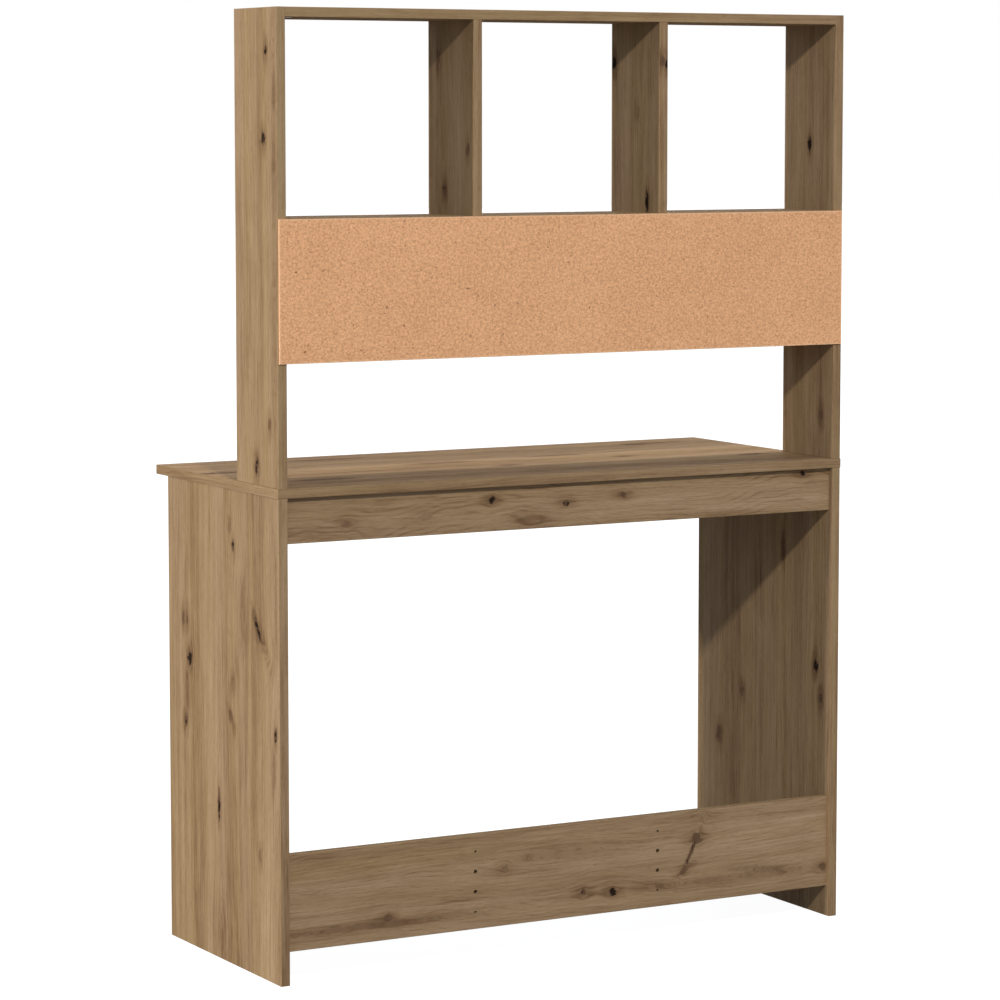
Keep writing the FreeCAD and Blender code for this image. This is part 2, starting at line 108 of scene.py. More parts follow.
def tint(tree, factor, first, second, blend="MIX"):
    """The first colour, with the second laid over it by the factor."""
    feeds = {0: factor, 6: first, 7: second}
    return add_node(tree, "ShaderNodeMix", feeds, data_type="RGBA", blend_type=blend).outputs[2]


def noise(tree, place, spread, detail=2.0, roughness=0.5, output="Fac"):
    """Noise with its own number of turns per metre along each axis of the place."""
    spot = {0: place, 1: spread}
    spot = add_node(tree, "ShaderNodeVectorMath", spot, operation="MULTIPLY").outputs[0]
    feeds = {"Vector": spot, "Scale": 1.0, "Detail": detail, "Roughness": roughness}
    return add_node(tree, "ShaderNodeTexNoise", feeds).outputs[output]


def new_group(name, inputs, outputs):
    """An empty node group, with the sockets that come into it and those that leave it."""
    kinds = {"value": "NodeSocketFloat", "vector": "NodeSocketVector", "colour": "NodeSocketColor"}
    tree = bpy.data.node_groups.new(name, "ShaderNodeTree")
    for side, sockets in (("INPUT", inputs), ("OUTPUT", outputs)):
        for label, kind in sockets.items():
            tree.interface.new_socket(name=label, in_out=side, socket_type=kinds[kind])
    return tree, tree.nodes.new("NodeGroupInput").outputs, tree.nodes.new("NodeGroupOutput").inputs


def place_group(tree, group, feeds):
    """One use of a node group, with its own values."""
    return add_node(tree, "ShaderNodeGroup", feeds, node_tree=group).outputs


def board_lay_group():
    """Which way the print runs on each face of a board.

    Places and facings come as along the grain, across it and through the board. The two broad faces
    show the print turned round from each other, and drilled walls are marked. Edges carry the print
    along their length, a metre further across on the plus side and a metre back on the minus side.
    """
    tree, given, result = new_group(
        "board_lay",
        {"Place": "vector", "Facing": "vector", "Half": "vector", "Seed": "value"},
        {"Along": "value", "Across": "value", "Layer": "value", "Broad": "value", "Bore": "value"},
    )
    square_on = 0.8
    skin = 0.8 * MM
    edge_print = 1.0
    layer_steps = (3.7, 7.3, 1.9)
    place = parted(tree, given["Place"])
    facing = parted(tree, given["Facing"])
    half = parted(tree, given["Half"])
    broad = calc(tree, "GREATER_THAN", calc(tree, "ABSOLUTE", facing["Z"]), square_on)
    end = calc(tree, "GREATER_THAN", calc(tree, "ABSOLUTE", facing["X"]), square_on)
    side = choose(tree, broad, 1.0, calc(tree, "SIGN", facing["Z"]))
    along = calc(tree, "MULTIPLY", choose(tree, end, place["X"], place["Y"]), side)
    across = calc(tree, "MULTIPLY", choose(tree, broad, place["Z"], place["Y"]), side)
    edge = choose(tree, broad, calc(tree, "SIGN", facing["Y"]), 0.0)
    layer = {0: given["Facing"], 1: layer_steps}
    layer = add_node(tree, "ShaderNodeVectorMath", layer, operation="DOT_PRODUCT").outputs["Value"]
    bore = 1.0
    for axis in "XYZ":
        reach = calc(tree, "SUBTRACT", half[axis], skin)
        within = calc(tree, "LESS_THAN", calc(tree, "ABSOLUTE", place[axis]), reach)
        bore = calc(tree, "MULTIPLY", bore, within)
    tree.links.new(along, result["Along"])
    tree.links.new(calc(tree, "MULTIPLY_ADD", edge, edge_print, across), result["Across"])
    tree.links.new(calc(tree, "ADD", layer, given["Seed"]), result["Layer"])
    tree.links.new(broad, result["Broad"])
    tree.links.new(bore, result["Bore"])
    return tree


def oak_knot_group():
    """One knot or crack of the print: a dark core, a brown halo, and grain pushed round it."""
    tree, given, result = new_group(
        "oak_knot",
        {
            "Along": "value", "Across": "value", "Ragged Along": "value", "Ragged Across": "value",
            "Knot Along": "value", "Knot Across": "value", "Half Length": "value", "Half Width": "value",
            "Slant": "value", "Darkness": "value", "Core": "value", "Halo": "value", "Push": "value",
        },
        {"Core": "value", "Halo": "value", "Push": "value"},
    )
    ragged_length = 14 * MM
    ragged_width = 10 * MM
    length_wobble = 2.6
    width_wobble = 2.2
    core_rim, core_full = 1.3, 0.7
    halo_rim, halo_full = 1.6, 0.2
    halo_length = 16 * MM
    halo_width = 4 * MM
    halo_strength = 0.45
    push_strength = -1.3
    push_width = 14 * MM

    def ragged(offset, wander, half_size, largest, wobble):
        """An offset that wanders by a share of the knot's own size."""
        reach = calc(tree, "MULTIPLY", calc(tree, "MINIMUM", half_size, largest), wobble)
        return calc(tree, "MULTIPLY_ADD", wander, reach, offset)

    def square_off(along, across, more_length, more_width):
        """How far off a point is, squared, in halves of the knot's own size."""
        part = calc(tree, "DIVIDE", along, calc(tree, "ADD", given["Half Length"], more_length))
        other = calc(tree, "DIVIDE", across, calc(tree, "ADD", given["Half Width"], more_width))
        return calc(tree, "MULTIPLY_ADD", part, part, calc(tree, "MULTIPLY", other, other))

    ahead = calc(tree, "SUBTRACT", given["Along"], given["Knot Along"])
    aside = calc(tree, "SUBTRACT", given["Across"], given["Knot Across"])
    aside = calc(tree, "SUBTRACT", aside, calc(tree, "MULTIPLY", given["Slant"], ahead))
    rough_ahead = ragged(ahead, given["Ragged Along"], given["Half Length"], ragged_length, length_wobble)
    rough_aside = ragged(aside, given["Ragged Across"], given["Half Width"], ragged_width, width_wobble)

    away = calc(tree, "SQRT", square_off(rough_ahead, rough_aside, 0.0, 0.0))
    core = calc(tree, "MULTIPLY", ramp_between(tree, away, core_rim, core_full), given["Darkness"])
    tree.links.new(calc(tree, "MAXIMUM", core, given["Core"]), result["Core"])

    strength = calc(tree, "MULTIPLY_ADD", given["Darkness"], halo_strength, halo_strength)
    away = calc(tree, "SQRT", square_off(rough_ahead, rough_aside, halo_length, halo_width))
    halo = calc(tree, "MULTIPLY", ramp_between(tree, away, halo_rim, halo_full), strength)
    tree.links.new(calc(tree, "MAXIMUM", halo, given["Halo"]), result["Halo"])

    fade = calc(tree, "ADD", square_off(ahead, aside, 0.0, 0.0), 1.0)
    narrow = calc(tree, "MINIMUM", calc(tree, "DIVIDE", push_width, given["Half Width"]), 1.0)
    push = calc(tree, "MULTIPLY", aside, calc(tree, "MULTIPLY", narrow, push_strength))
    push = calc(tree, "DIVIDE", push, fade)
    tree.links.new(calc(tree, "ADD", push, given["Push"]), result["Push"])
    return tree


def oak_figure_group():
    """The oak print itself: planks of tone, streaks, fine lines, arches and pores along the grain."""
    tree, given, result = new_group(
        "oak_figure",
        {
            "Along": "value", "Across": "value", "Layer": "value", "Broad": "value", "Bore": "value",
            "Core": "value", "Halo": "value", "Push": "value", "Tone": "value", "Arches": "value",
        },
        {"Color": "colour", "Roughness": "value", "Height": "value"},
    )
    middle = 0.5
    wander_width = 30 * MM
    across = calc(tree, "ADD", given["Across"], given["Push"])
    straight = joined(tree, given["Along"], across, given["Layer"])
    wander = calc(tree, "SUBTRACT", noise(tree, straight, (1.3, 6.0, 1.0)), middle)
    across = calc(tree, "MULTIPLY_ADD", wander, wander_width, across)
    grain = joined(tree, given["Along"], across, given["Layer"])

    plank = noise(tree, grain, (0.8, 15.0, 3.1), detail=1.0)
    streak = noise(tree, grain, (2.3, 78.0, 5.7), detail=4.0, roughness=0.6)
    line = noise(tree, grain, (8.0, 340.0, 9.3))
    cloud = noise(tree, grain, (15.0, 55.0, 2.3), detail=3.0)
    dash = ramp_between(tree, noise(tree, grain, (20.0, 400.0, 7.7), detail=1.0), 0.60, 0.72)
    pore = ramp_between(tree, noise(tree, grain, (70.0, 1700.0, 3.0), detail=0.0), 0.60, 0.72)

    arch_lines = 135.0 * math.tau
    arch_swing = 20.0 * math.tau
    arch_fineness = 5.0
    arch_spread = 0.12
    swing = noise(tree, grain, (2.4, 5.0, 4.4), detail=3.0, roughness=0.55)
    turn = calc(tree, "MULTIPLY_ADD", across, arch_lines, calc(tree, "MULTIPLY", swing, arch_swing))
    wave = calc(tree, "MULTIPLY_ADD", calc(tree, "SINE", turn), 0.5, 0.5)
    patch = noise(tree, grain, (1.6, 9.0, 8.8))
    patch = calc(tree, "MULTIPLY_ADD", given["Arches"], arch_spread, patch)
    breaks = noise(tree, grain, (9.0, 45.0, 1.7))
    arch = calc(tree, "POWER", wave, arch_fineness)
    arch = calc(tree, "MULTIPLY", arch, ramp_between(tree, patch, 0.42, 0.54))
    arch = calc(tree, "MULTIPLY", arch, ramp_between(tree, breaks, 0.30, 0.62))
    arch = calc(tree, "MULTIPLY", arch, given["Arches"])

    # Painted shade: the edge faces are printed darker than the broad faces by this much.
    painted_edge_shade = 0.06
    tone = calc(tree, "SUBTRACT", given["Tone"], choose(tree, given["Broad"], painted_edge_shade, 0.0))
    for part, weight in ((plank, 0.95), (streak, 1.0), (line, 0.8), (cloud, 0.45)):
        tone = calc(tree, "MULTIPLY_ADD", calc(tree, "SUBTRACT", part, middle), weight, tone)
    for mark, weight in ((arch, 0.4), (dash, 0.18), (given["Halo"], 0.5)):
        tone = calc(tree, "MULTIPLY_ADD", mark, -weight, tone)

    shades = add_node(tree, "ShaderNodeValToRGB", {0: tone})
    stops = (
        (0.00, (0.170, 0.100, 0.052, 1)),
        (0.22, (0.246, 0.151, 0.081, 1)),
        (0.50, (0.306, 0.201, 0.110, 1)),
        (0.78, (0.359, 0.239, 0.138, 1)),
        (1.00, (0.410, 0.280, 0.170, 1)),
    )
    while len(shades.color_ramp.elements) < len(stops):
        shades.color_ramp.elements.new(middle)
    for stop, (position, shade) in zip(shades.color_ramp.elements, stops):
        stop.position = position
        stop.color = shade

    warm_cast = (0.98, 0.99, 0.91, 1)
    pore_shade = (0.62, 0.56, 0.50, 1)
    pore_strength = 0.5
    brown_heart = (0.115, 0.064, 0.038, 1)
    black_heart = (0.022, 0.014, 0.009, 1)
    dark_chip = (0.15, 0.095, 0.05, 1)
    pale_chip = (0.26, 0.18, 0.105, 1)
    warm = ramp_between(tree, noise(tree, grain, (0.7, 22.0, 6.6), detail=1.0), 0.35, 0.65)
    colour = tint(tree, warm, shades.outputs[0], warm_cast, "MULTIPLY")
    colour = tint(tree, calc(tree, "MULTIPLY", pore, pore_strength), colour, pore_shade, "MULTIPLY")
    charred = noise(tree, straight, (100.0, 180.0, 1.0), detail=3.0)
    charred = ramp_between(tree, calc(tree, "SUBTRACT", given["Core"], charred), 0.38, 0.54)
    colour = tint(tree, given["Core"], colour, tint(tree, charred, brown_heart, black_heart))
    chips = ramp_between(tree, noise(tree, straight, (600.0, 600.0, 300.0)), 0.4, 0.6)
    raw = tint(tree, chips, dark_chip, pale_chip)
    tree.links.new(tint(tree, given["Bore"], colour, raw), result["Color"])

    rough = 0.75
    for part, weight in ((line, 0.2), (pore, 0.1)):
        rough = calc(tree, "MULTIPLY_ADD", part, weight, rough)
    tree.links.new(rough, result["Roughness"])
    height = 0.0
    for part, weight in ((streak, 0.3), (line, 0.4), (pore, -0.5), (given["Core"], -0.6)):
        height = calc(tree, "MULTIPLY_ADD", part, weight, height)
    tree.links.new(height, result["Height"])
    return tree


board_lay = board_lay_group()
oak_knot = oak_knot_group()
oak_figure = oak_figure_group()


def new_finish(name):
    """A new material, with its node tree and its shader."""
    material = bpy.data.materials.new(name)
    material.use_nodes = True
    return material, material.node_tree, material.node_tree.nodes["Principled BSDF"]


def link_finish(tree, shader, colour, roughness, height, relief, depth):
    """Link a finish's colour, roughness and relief to its shader."""
    tree.links.new(colour, shader.inputs["Base Color"])
    tree.links.new(roughness, shader.inputs["Roughness"])
    bump = add_node(tree, "ShaderNodeBump", {"Height": height, "Strength": relief, "Distance": depth})
    tree.links.new(bump.outputs[0], shader.inputs["Normal"])


def dress(node_name, material):
    """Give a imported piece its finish."""
    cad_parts[node_name].material_slots[0].material = material


def oak_board(node_name, axes, seed, tone, arches, knots):
    """Give one board its own stretch of the print.

    The axes are those along the grain, across it and through the board. The tone is how pale the print
    is, and arches is how clearly the curved lines show. A knot is its place along and across from the
    board's middle, half its length and width, all in millimetres, its slant and how dark it is: below 0
    it is only a faint smear, at 0.5 brown and from 1 black. A metre more across puts it on an edge.
    """
    print_gloss = 0.005
    grain_relief = 0.25
    grain_depth = 0.3 * MM
    low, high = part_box(node_name)
    half = (high - low) / 2
    material, tree, shader = new_finish("oak_" + node_name)
    spot = add_node(tree, "ShaderNodeTexCoord").outputs
    centred = {0: spot["Object"], 1: (low + high) / 2}
    centred = add_node(tree, "ShaderNodeVectorMath", centred, operation="SUBTRACT").outputs[0]
    turned = {"Half": [half["XYZ".index(axis)] for axis in axes], "Seed": seed}
    for label, vector in (("Place", centred), ("Facing", spot["Normal"])):
        parts = parted(tree, vector)
        turned[label] = joined(tree, *[parts[axis] for axis in axes])
    lay = place_group(tree, board_lay, turned)

    flat = joined(tree, lay["Along"], lay["Across"], lay["Layer"])
    ragged = noise(tree, flat, (75.0, 150.0, 1.0), detail=5.0, roughness=0.7, output="Color")
    ragged = {0: ragged, 1: (0.5, 0.5, 0.5)}
    ragged = add_node(tree, "ShaderNodeVectorMath", ragged, operation="SUBTRACT").outputs[0]
    ragged = parted(tree, ragged)
    marks = {"Core": 0.0, "Halo": 0.0, "Push": 0.0}
    for along, across, half_length, half_width, slant, darkness in knots:
        marks = place_group(tree, oak_knot, {
            "Along": lay["Along"], "Across": lay["Across"],
            "Ragged Along": ragged["X"], "Ragged Across": ragged["Y"],
            "Knot Along": along * MM, "Knot Across": across * MM,
            "Half Length": half_length * MM, "Half Width": half_width * MM,
            "Slant": slant, "Darkness": darkness,
            "Core": marks["Core"], "Halo": marks["Halo"], "Push": marks["Push"],
        })
    figure = place_group(tree, oak_figure, {
        "Along": lay["Along"], "Across": lay["Across"], "Layer": lay["Layer"], "Broad": lay["Broad"],
        "Bore": lay["Bore"], "Core": marks["Core"], "Halo": marks["Halo"], "Push": marks["Push"],
        "Tone": tone, "Arches": arches,
    })
    shader.inputs["Specular IOR Level"].default_value = print_gloss
    link_finish(
        tree, shader, figure["Color"], figure["Roughness"], figure["Height"], grain_relief, grain_depth,
    )
    dress(node_name, material)


UPRIGHT = "ZYX"
RIGHT_SIDE_KNOTS = (
    (90, -124, 12, 10, 0.0, 1.05), (38, -134, 45, 6, 0.0, 0.3), (152, -147, 12, 5, 0.0, 0.75),
    (150, -133, 10, 4, 0.0, 0.75), (167, 128, 19, 6, -0.6, 1.05), (140, 150, 20, 14, -0.6, 0.1),
    (286, 40, 9, 5, 0.0, 0.9), (318, 28, 14, 6, 0.0, 0.35), (-127, -17, 24, 5, 0.0, 1.0),
    (11, 189, 12, 5, 0.0, 0.95), (-12, -140, 9, 7, 0.0, 0.9), (16, 30, 10, 7, -0.5, 0.6),
    (72, 36, 14, 9, 0.3, 0.2), (178, 77, 40, 13, 0.0, 0.0), (-184, 131, 9, 6, 0.0, 0.4),
    (-42, 183, 30, 5, 0.0, 0.4), (-330, -13, 50, 22, 0.0, 0.0), (220, 192, 90, 3, 0.0, 0.1),
)
LEFT_SIDE_KNOTS = (
    (40, 160, 12, 7, 0.0, 1.1), (-11, 175, 9, 6, 0.0, 1.0), (-116, -135, 14, 8, 0.0, 0.8),
    (-32, -62, 10, 7, 0.0, 0.6), (230, 60, 24, 5, 0.0, 0.7), (-250, 90, 11, 9, 0.2, 0.8),
)
oak_board("desk_side_right", UPRIGHT, seed=2.0, tone=0.50, arches=0.15, knots=RIGHT_SIDE_KNOTS)
oak_board("desk_side_left", UPRIGHT, seed=31.0, tone=0.47, arches=0.15, knots=LEFT_SIDE_KNOTS)

# Desktop
# One faced board laid over both sides and held from below by cam bolts, with the grain along its width.
# Its print shows planks of differing tone, with dark cracks between some of them.
# A darker band along its rear, under the hutch, is painted shade.
LEVEL = "XYZ"
DESKTOP_KNOTS_AND_SHADE = (
    (-349, -155, 22, 8, 0.0, 0.85), (-385, -165, 75, 9, 0.0, 0.55), (-135, -47, 50, 8, 0.0, 0.55),
    (-423, 90, 24, 9, 0.0, 0.85), (235, -166, 75, 9, 0.0, 0.6), (480, -48, 50, 9, 0.0, 0.8),
    (383, 123, 55, 14, 0.0, 0.75), (95, -26, 55, 9, 0.0, 0.45), (20, 60, 12, 8, 0.0, 0.6),
    # The last entry is painted shade: a long faint darker band under the hutch, where the hutch shades the
    # desktop.
    (-220, 20, 9, 8, 0.0, 0.7), (0, 150, 2000, 74, 0.0, -0.25),
)
oak_board("desktop", LEVEL, seed=143.0, tone=0.44, arches=0.2, knots=DESKTOP_KNOTS_AND_SHADE)

# Rear apron and rear bottom rail
# Two stretchers of the same faced board that stop the desk from racking, cam-locked between the sides.
# The rail is drilled with the same divider holes as the upper shelf, and the raw board shows in them.
STRETCHER = "XZY"
APRON_KNOTS = (
    (137, 14, 6, 6, 0.0, 1.1), (60, -20, 28, 10, 0.0, 0.15), (390, -9, 8, 6, 0.0, 0.5),
    (4, 2, 6, 5, 0.0, 1.0), (-101, 10, 7, 5, 0.0, 0.95), (-442, 28, 5, 5, 0.0, 1.0),
    (254, -4, 10, 6, 0.0, 0.25),
)
RAIL_KNOTS = (
    (-241, 29, 10, 11, 0.0, 0.85), (-231, 8, 12, 7, -1.9, 0.9), (-218, -20, 10, 6, -0.5, 0.7),
    (-83, -42, 7, 7, 0.0, 1.0), (-29, -37, 5, 6, 0.0, 0.9), (114, 15, 8, 6, 0.0, 0.4),
    (321, -40, 7, 6, 0.0, 0.65), (-487, -42, 7, 7, 0.0, 0.7), (-246, 62, 14, 8, 0.0, 0.1),
    (-363, -34, 55, 7, 0.1, 0.2), (20, 30, 120, 11, -0.02, 0.0), (-290, -42, 200, 5, 0.0, 0.08),
    (330, -50, 190, 5, 0.0, 0.25),
)
oak_board("rear_apron", STRETCHER, seed=97.0, tone=0.50, arches=0.9, knots=APRON_KNOTS)
oak_board("rear_bottom_rail", STRETCHER, seed=128.0, tone=0.58, arches=0.5, knots=RAIL_KNOTS)

# Hutch sides
# Two narrow uprights of faced board, standing on the rear of the desktop and screwed to it from below.
# They are banded on every edge, because their tops show.
RIGHT_HUTCH_KNOTS = (
    (296, 37, 8, 5, 0.0, 1.0), (164, 26, 11, 8, 0.0, 0.95), (-330, -2, 12, 6, 0.0, 0.95),
    (-266, 44, 9, 5, 0.0, 0.6), (234, 64, 34, 5, 0.0, 0.4), (-40, 63, 420, 8, 0.0, 0.1),
)
LEFT_HUTCH_KNOTS = (
    (152, 0, 11, 5, 0.0, 1.2), (-120, -30, 12, 7, 0.0, 0.8), (-290, 40, 9, 6, 0.0, 0.7),
)
oak_board("hutch_side_right", UPRIGHT, seed=161.0, tone=0.58, arches=0.12, knots=RIGHT_HUTCH_KNOTS)
oak_board("hutch_side_left", UPRIGHT, seed=193.0, tone=0.50, arches=0.12, knots=LEFT_HUTCH_KNOTS)

# Hutch top and shelves
# Three faced boards cam-locked between the hutch sides: the top, the floor of the cubbies and the floor
# of the long compartment. Their grain runs from side to side.
TOP_KNOTS = (
    (-310, 20, 10, 8, 0.0, 0.8), (90, -30, 24, 6, 0.0, 0.7), (380, 35, 9, 7, 0.0, 0.8),
)
UPPER_SHELF_KNOTS = (
    (250, -20, 11, 8, 0.0, 0.8), (-60, 30, 30, 5, 0.0, 0.6), (-400, -35, 9, 7, 0.0, 0.8),
)
LOWER_SHELF_KNOTS = (
    (-200, 15, 12, 8, 0.0, 0.8), (150, -40, 26, 5, 0.0, 0.6), (430, 25, 9, 7, 0.0, 0.8),
)
oak_board("hutch_top", LEVEL, seed=222.0, tone=0.50, arches=0.2, knots=TOP_KNOTS)
oak_board("hutch_upper_shelf", LEVEL, seed=257.0, tone=0.50, arches=0.2, knots=UPPER_SHELF_KNOTS)
oak_board("hutch_lower_shelf", LEVEL, seed=289.0, tone=0.50, arches=0.2, knots=LOWER_SHELF_KNOTS)

# Hutch dividers
# Two upright partitions of the same faced board between the cubbies. Dowels at both ends place them, and
# screws through the upper shelf hold them from below.
LEFT_DIVIDER_KNOTS = (
    (-133, 36, 14, 6, 0.0, 1.1), (87, -66, 10, 7, 0.0, 1.2), (10, 5, 12, 6, 0.0, 0.3),
    (88, 1003, 8, 6, 0.0, 0.8), (85, 994, 7, 3.5, 0.0, 1.3),
)
RIGHT_DIVIDER_KNOTS = (
    (-49, 55, 10, 6, 0.0, 0.6), (92, -39, 12, 6, 0.0, 0.6), (-110, -20, 9, 7, 0.0, 0.8),
)
oak_board("hutch_divider_left", UPRIGHT, seed=318.0, tone=0.50, arches=0.12, knots=LEFT_DIVIDER_KNOTS)
oak_board("hutch_divider_right", UPRIGHT, seed=351.0, tone=0.50, arches=0.12, knots=RIGHT_DIVIDER_KNOTS)

# Cam locks
# Round barrels of die-cast zinc that sit flush in their bores and draw the bolt heads in. Casting
# leaves them dull, with a fine grain and darker hollows.


def metal_finish_group():
    """Bare metal: a fine speckle in its colour, its shine and its height."""
    tree, given, result = new_group(
        "metal_finish",
        {"Place": "vector", "Color": "colour", "Dark": "colour", "Grain": "value", "Roughness": "value"},
        {"Color": "colour", "Roughness": "value", "Height": "value"},
    )
    uneven_shine = 0.4
    spread = joined(tree, given["Grain"], given["Grain"], given["Grain"])
    speckle = noise(tree, given["Place"], spread, detail=3.0)
    shade = ramp_between(tree, speckle, 0.35, 0.7)
    off = calc(tree, "SUBTRACT", speckle, 0.5)
    rough = calc(tree, "MULTIPLY_ADD", off, uneven_shine, given["Roughness"])
    tree.links.new(tint(tree, shade, given["Dark"], given["Color"]), result["Color"])
    tree.links.new(rough, result["Roughness"])
    tree.links.new(speckle, result["Height"])
    return tree


metal_finish = metal_finish_group()


def metal(name, colour, dark, grain, roughness):
    """A bare metal with its own colour, grain and shine."""
    speckle_relief = 0.2
    speckle_depth = 0.1 * MM
    material, tree, shader = new_finish(name)
    place = add_node(tree, "ShaderNodeTexCoord").outputs["Object"]
    finish = place_group(tree, metal_finish, {
        "Place": place, "Color": colour, "Dark": dark, "Grain": grain, "Roughness": roughness,
    })
    shader.inputs["Metallic"].default_value = 1.0
    link_finish(
        tree, shader, finish["Color"], finish["Roughness"], finish["Height"], speckle_relief, speckle_depth,
    )
    return material


ZINC = (0.42, 0.43, 0.44, 1)
ZINC_HOLLOWS = (0.26, 0.265, 0.27, 1)
LOCKED = (
    "desktop", "rear_apron", "rear_bottom_rail", "hutch_top", "hutch_upper_shelf", "hutch_lower_shelf",
)
zinc = metal("die_cast_zinc", ZINC, ZINC_HOLLOWS, grain=1800.0, roughness=0.5)
for board_name in LOCKED:
    dress(board_name + "_cam_locks", zinc)

# Cam bolts
# Steel bolts with a necked head for the cam lock and a root driven into the next board. They are bright
# zinc plated, and hidden once the desk is put together.
PLATE = (0.60, 0.61, 0.60, 1)
DULL_PLATE = (0.40, 0.41, 0.40, 1)
plated = metal("zinc_plated_steel", PLATE, DULL_PLATE, grain=900.0, roughness=0.32)
for board_name in LOCKED:
    dress(board_name + "_cam_bolts", plated)

# Dowels
# Short raw beech pins, glued into one board and pushed into the next to keep the two in line. Beech is
# pale and even, with small flecks.
DARK_BEECH = (0.44, 0.27, 0.13, 1)
PALE_BEECH = (0.62, 0.42, 0.23, 1)
FLECK_RELIEF = 0.3
FLECK_DEPTH = 0.2 * MM
beech, tree, shader = new_finish("beech_dowel")
spot = add_node(tree, "ShaderNodeTexCoord").outputs["Object"]
fleck = noise(tree, spot, (900.0, 900.0, 900.0), detail=3.0)
colour = tint(tree, ramp_between(tree, fleck, 0.35, 0.65), DARK_BEECH, PALE_BEECH)
rough = calc(tree, "MULTIPLY_ADD", fleck, 0.3, 0.55)
link_finish(tree, shader, colour, rough, fleck, FLECK_RELIEF, FLECK_DEPTH)
DOWELLED = LOCKED[1:] + ("divider_lower", "divider_upper")
for board_name in DOWELLED:
    dress(board_name + "_dowels", beech)

# Countersunk screws
# Plated wood screws driven up through the upper shelf into the dividers, and up through the desktop into
# the hutch sides. Each round head lies flush in its countersink, has a cross recess, and draws the boards
# tight by the thread beyond a plain shank.
SCREW_CORNERS = 20
SCREW_LENGTH = 40 * MM
HEAD_RADIUS = 3.4 * MM
HEAD_RIM = 0.1 * MM
SHANK_RADIUS = 1.7 * MM
CORE_RADIUS = 1.15 * MM
TIP_RADIUS = 0.1 * MM
THREAD_START = 16 * MM
THREAD_END = 36 * MM
THREAD_PITCH = 2.4 * MM
RIDGE_SHARE = 0.3
RINGS_PER_TURN = 4
CROSS_REACH = 1.9 * MM
CROSS_HALF = 0.5 * MM
CROSS_DEPTH = 1.2 * MM
CROSS_TAPER = 0.55
CREASE = math.radians(35)


def ring(shape, place, height, radii):
    """Points round an axis at one height, one for each radius."""
    points = []
    for number, radius in enumerate(radii):
        turn = math.tau * number / len(radii)
        spot = Vector((radius * math.cos(turn), radius * math.sin(turn), height))
        points.append(shape.verts.new(place @ spot))
    return points


def wall(shape, rings):
    """Faces between rings that follow each other."""
    for first, second in zip(rings, rings[1:]):
        for number, point in enumerate(first):
            after = (number + 1) % len(first)
            shape.faces.new((point, first[after], second[after], second[number]))


def loop_edges(shape, points):
    """The edges that join a ring of points."""
    pairs = zip(points, points[1:] + points[:1])
    return [shape.edges.get(pair) or shape.edges.new(pair) for pair in pairs]


def fastener(name, shape, plate):
    """Make worked points into a plated piece that goes with the desk."""
    bmesh.ops.recalc_face_normals(shape, faces=shape.faces)
    mesh = bpy.data.meshes.new(name)
    shape.to_mesh(mesh)
    shape.free()
    mesh.shade_smooth()
    mesh.set_sharp_from_angle(angle=CREASE)
    mesh.materials.append(plate)
    piece = bpy.data.objects.new(name, mesh)
    bpy.context.scene.collection.objects.link(piece)
    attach(piece, "root")
    return piece


def add_screw(shape, place):
    """One screw standing on its head, its point upward."""
    profile = (
        (0.0, HEAD_RADIUS), (HEAD_RIM, HEAD_RADIUS),
        (HEAD_RIM + HEAD_RADIUS - SHANK_RADIUS, SHANK_RADIUS), (THREAD_START, SHANK_RADIUS),
    )
    rings = [ring(shape, place, height, [radius] * SCREW_CORNERS) for height, radius in profile]
    steps = round(RINGS_PER_TURN * (THREAD_END - THREAD_START) / THREAD_PITCH)
    for step in range(1, steps + 1):
        height = THREAD_START + (THREAD_END - THREAD_START) * step / steps
        radii = []
        for corner in range(SCREW_CORNERS):
            phase = (height / THREAD_PITCH - corner / SCREW_CORNERS) % 1.0
            ridge = max(0.0, 1.0 - abs(phase - 0.5) / RIDGE_SHARE)
            radii.append(CORE_RADIUS + (SHANK_RADIUS - CORE_RADIUS) * ridge)
        rings.append(ring(shape, place, height, radii))
    rings.append(ring(shape, place, SCREW_LENGTH, [TIP_RADIUS] * SCREW_CORNERS))
    wall(shape, rings)
    shape.faces.new(rings[-1])

    arm, half = CROSS_REACH, CROSS_HALF
    corners = (
        (arm, -half), (arm, half), (half, half), (half, arm), (-half, arm), (-half, half),
        (-arm, half), (-arm, -half), (-half, -half), (-half, -arm), (half, -arm), (half, -half),
    )
    cross = []
    for size, depth in ((1.0, 0.0), (CROSS_TAPER, CROSS_DEPTH)):
        cross.append([shape.verts.new(place @ Vector((x * size, y * size, depth))) for x, y in corners])
    mouth, pit = cross
    wall(shape, cross)
    shape.faces.new(pit)
    face_edges = loop_edges(shape, rings[0]) + loop_edges(shape, mouth)
    bmesh.ops.triangle_fill(shape, use_beauty=True, edges=face_edges)


def driven_screws(node_name):
    """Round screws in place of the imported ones, at the four corners of their layout."""
    low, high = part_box(node_name)
    packed_radius = 3.5 * MM
    shape = bmesh.new()
    for x in (low.x + packed_radius, high.x - packed_radius):
        for y in (low.y + packed_radius, high.y - packed_radius):
            add_screw(shape, Matrix.Translation((x, y, low.z)))
    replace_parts(fastener("round_" + node_name, shape, plated), node_name)


driven_screws("divider_screws")
driven_screws("hutch_side_screws")

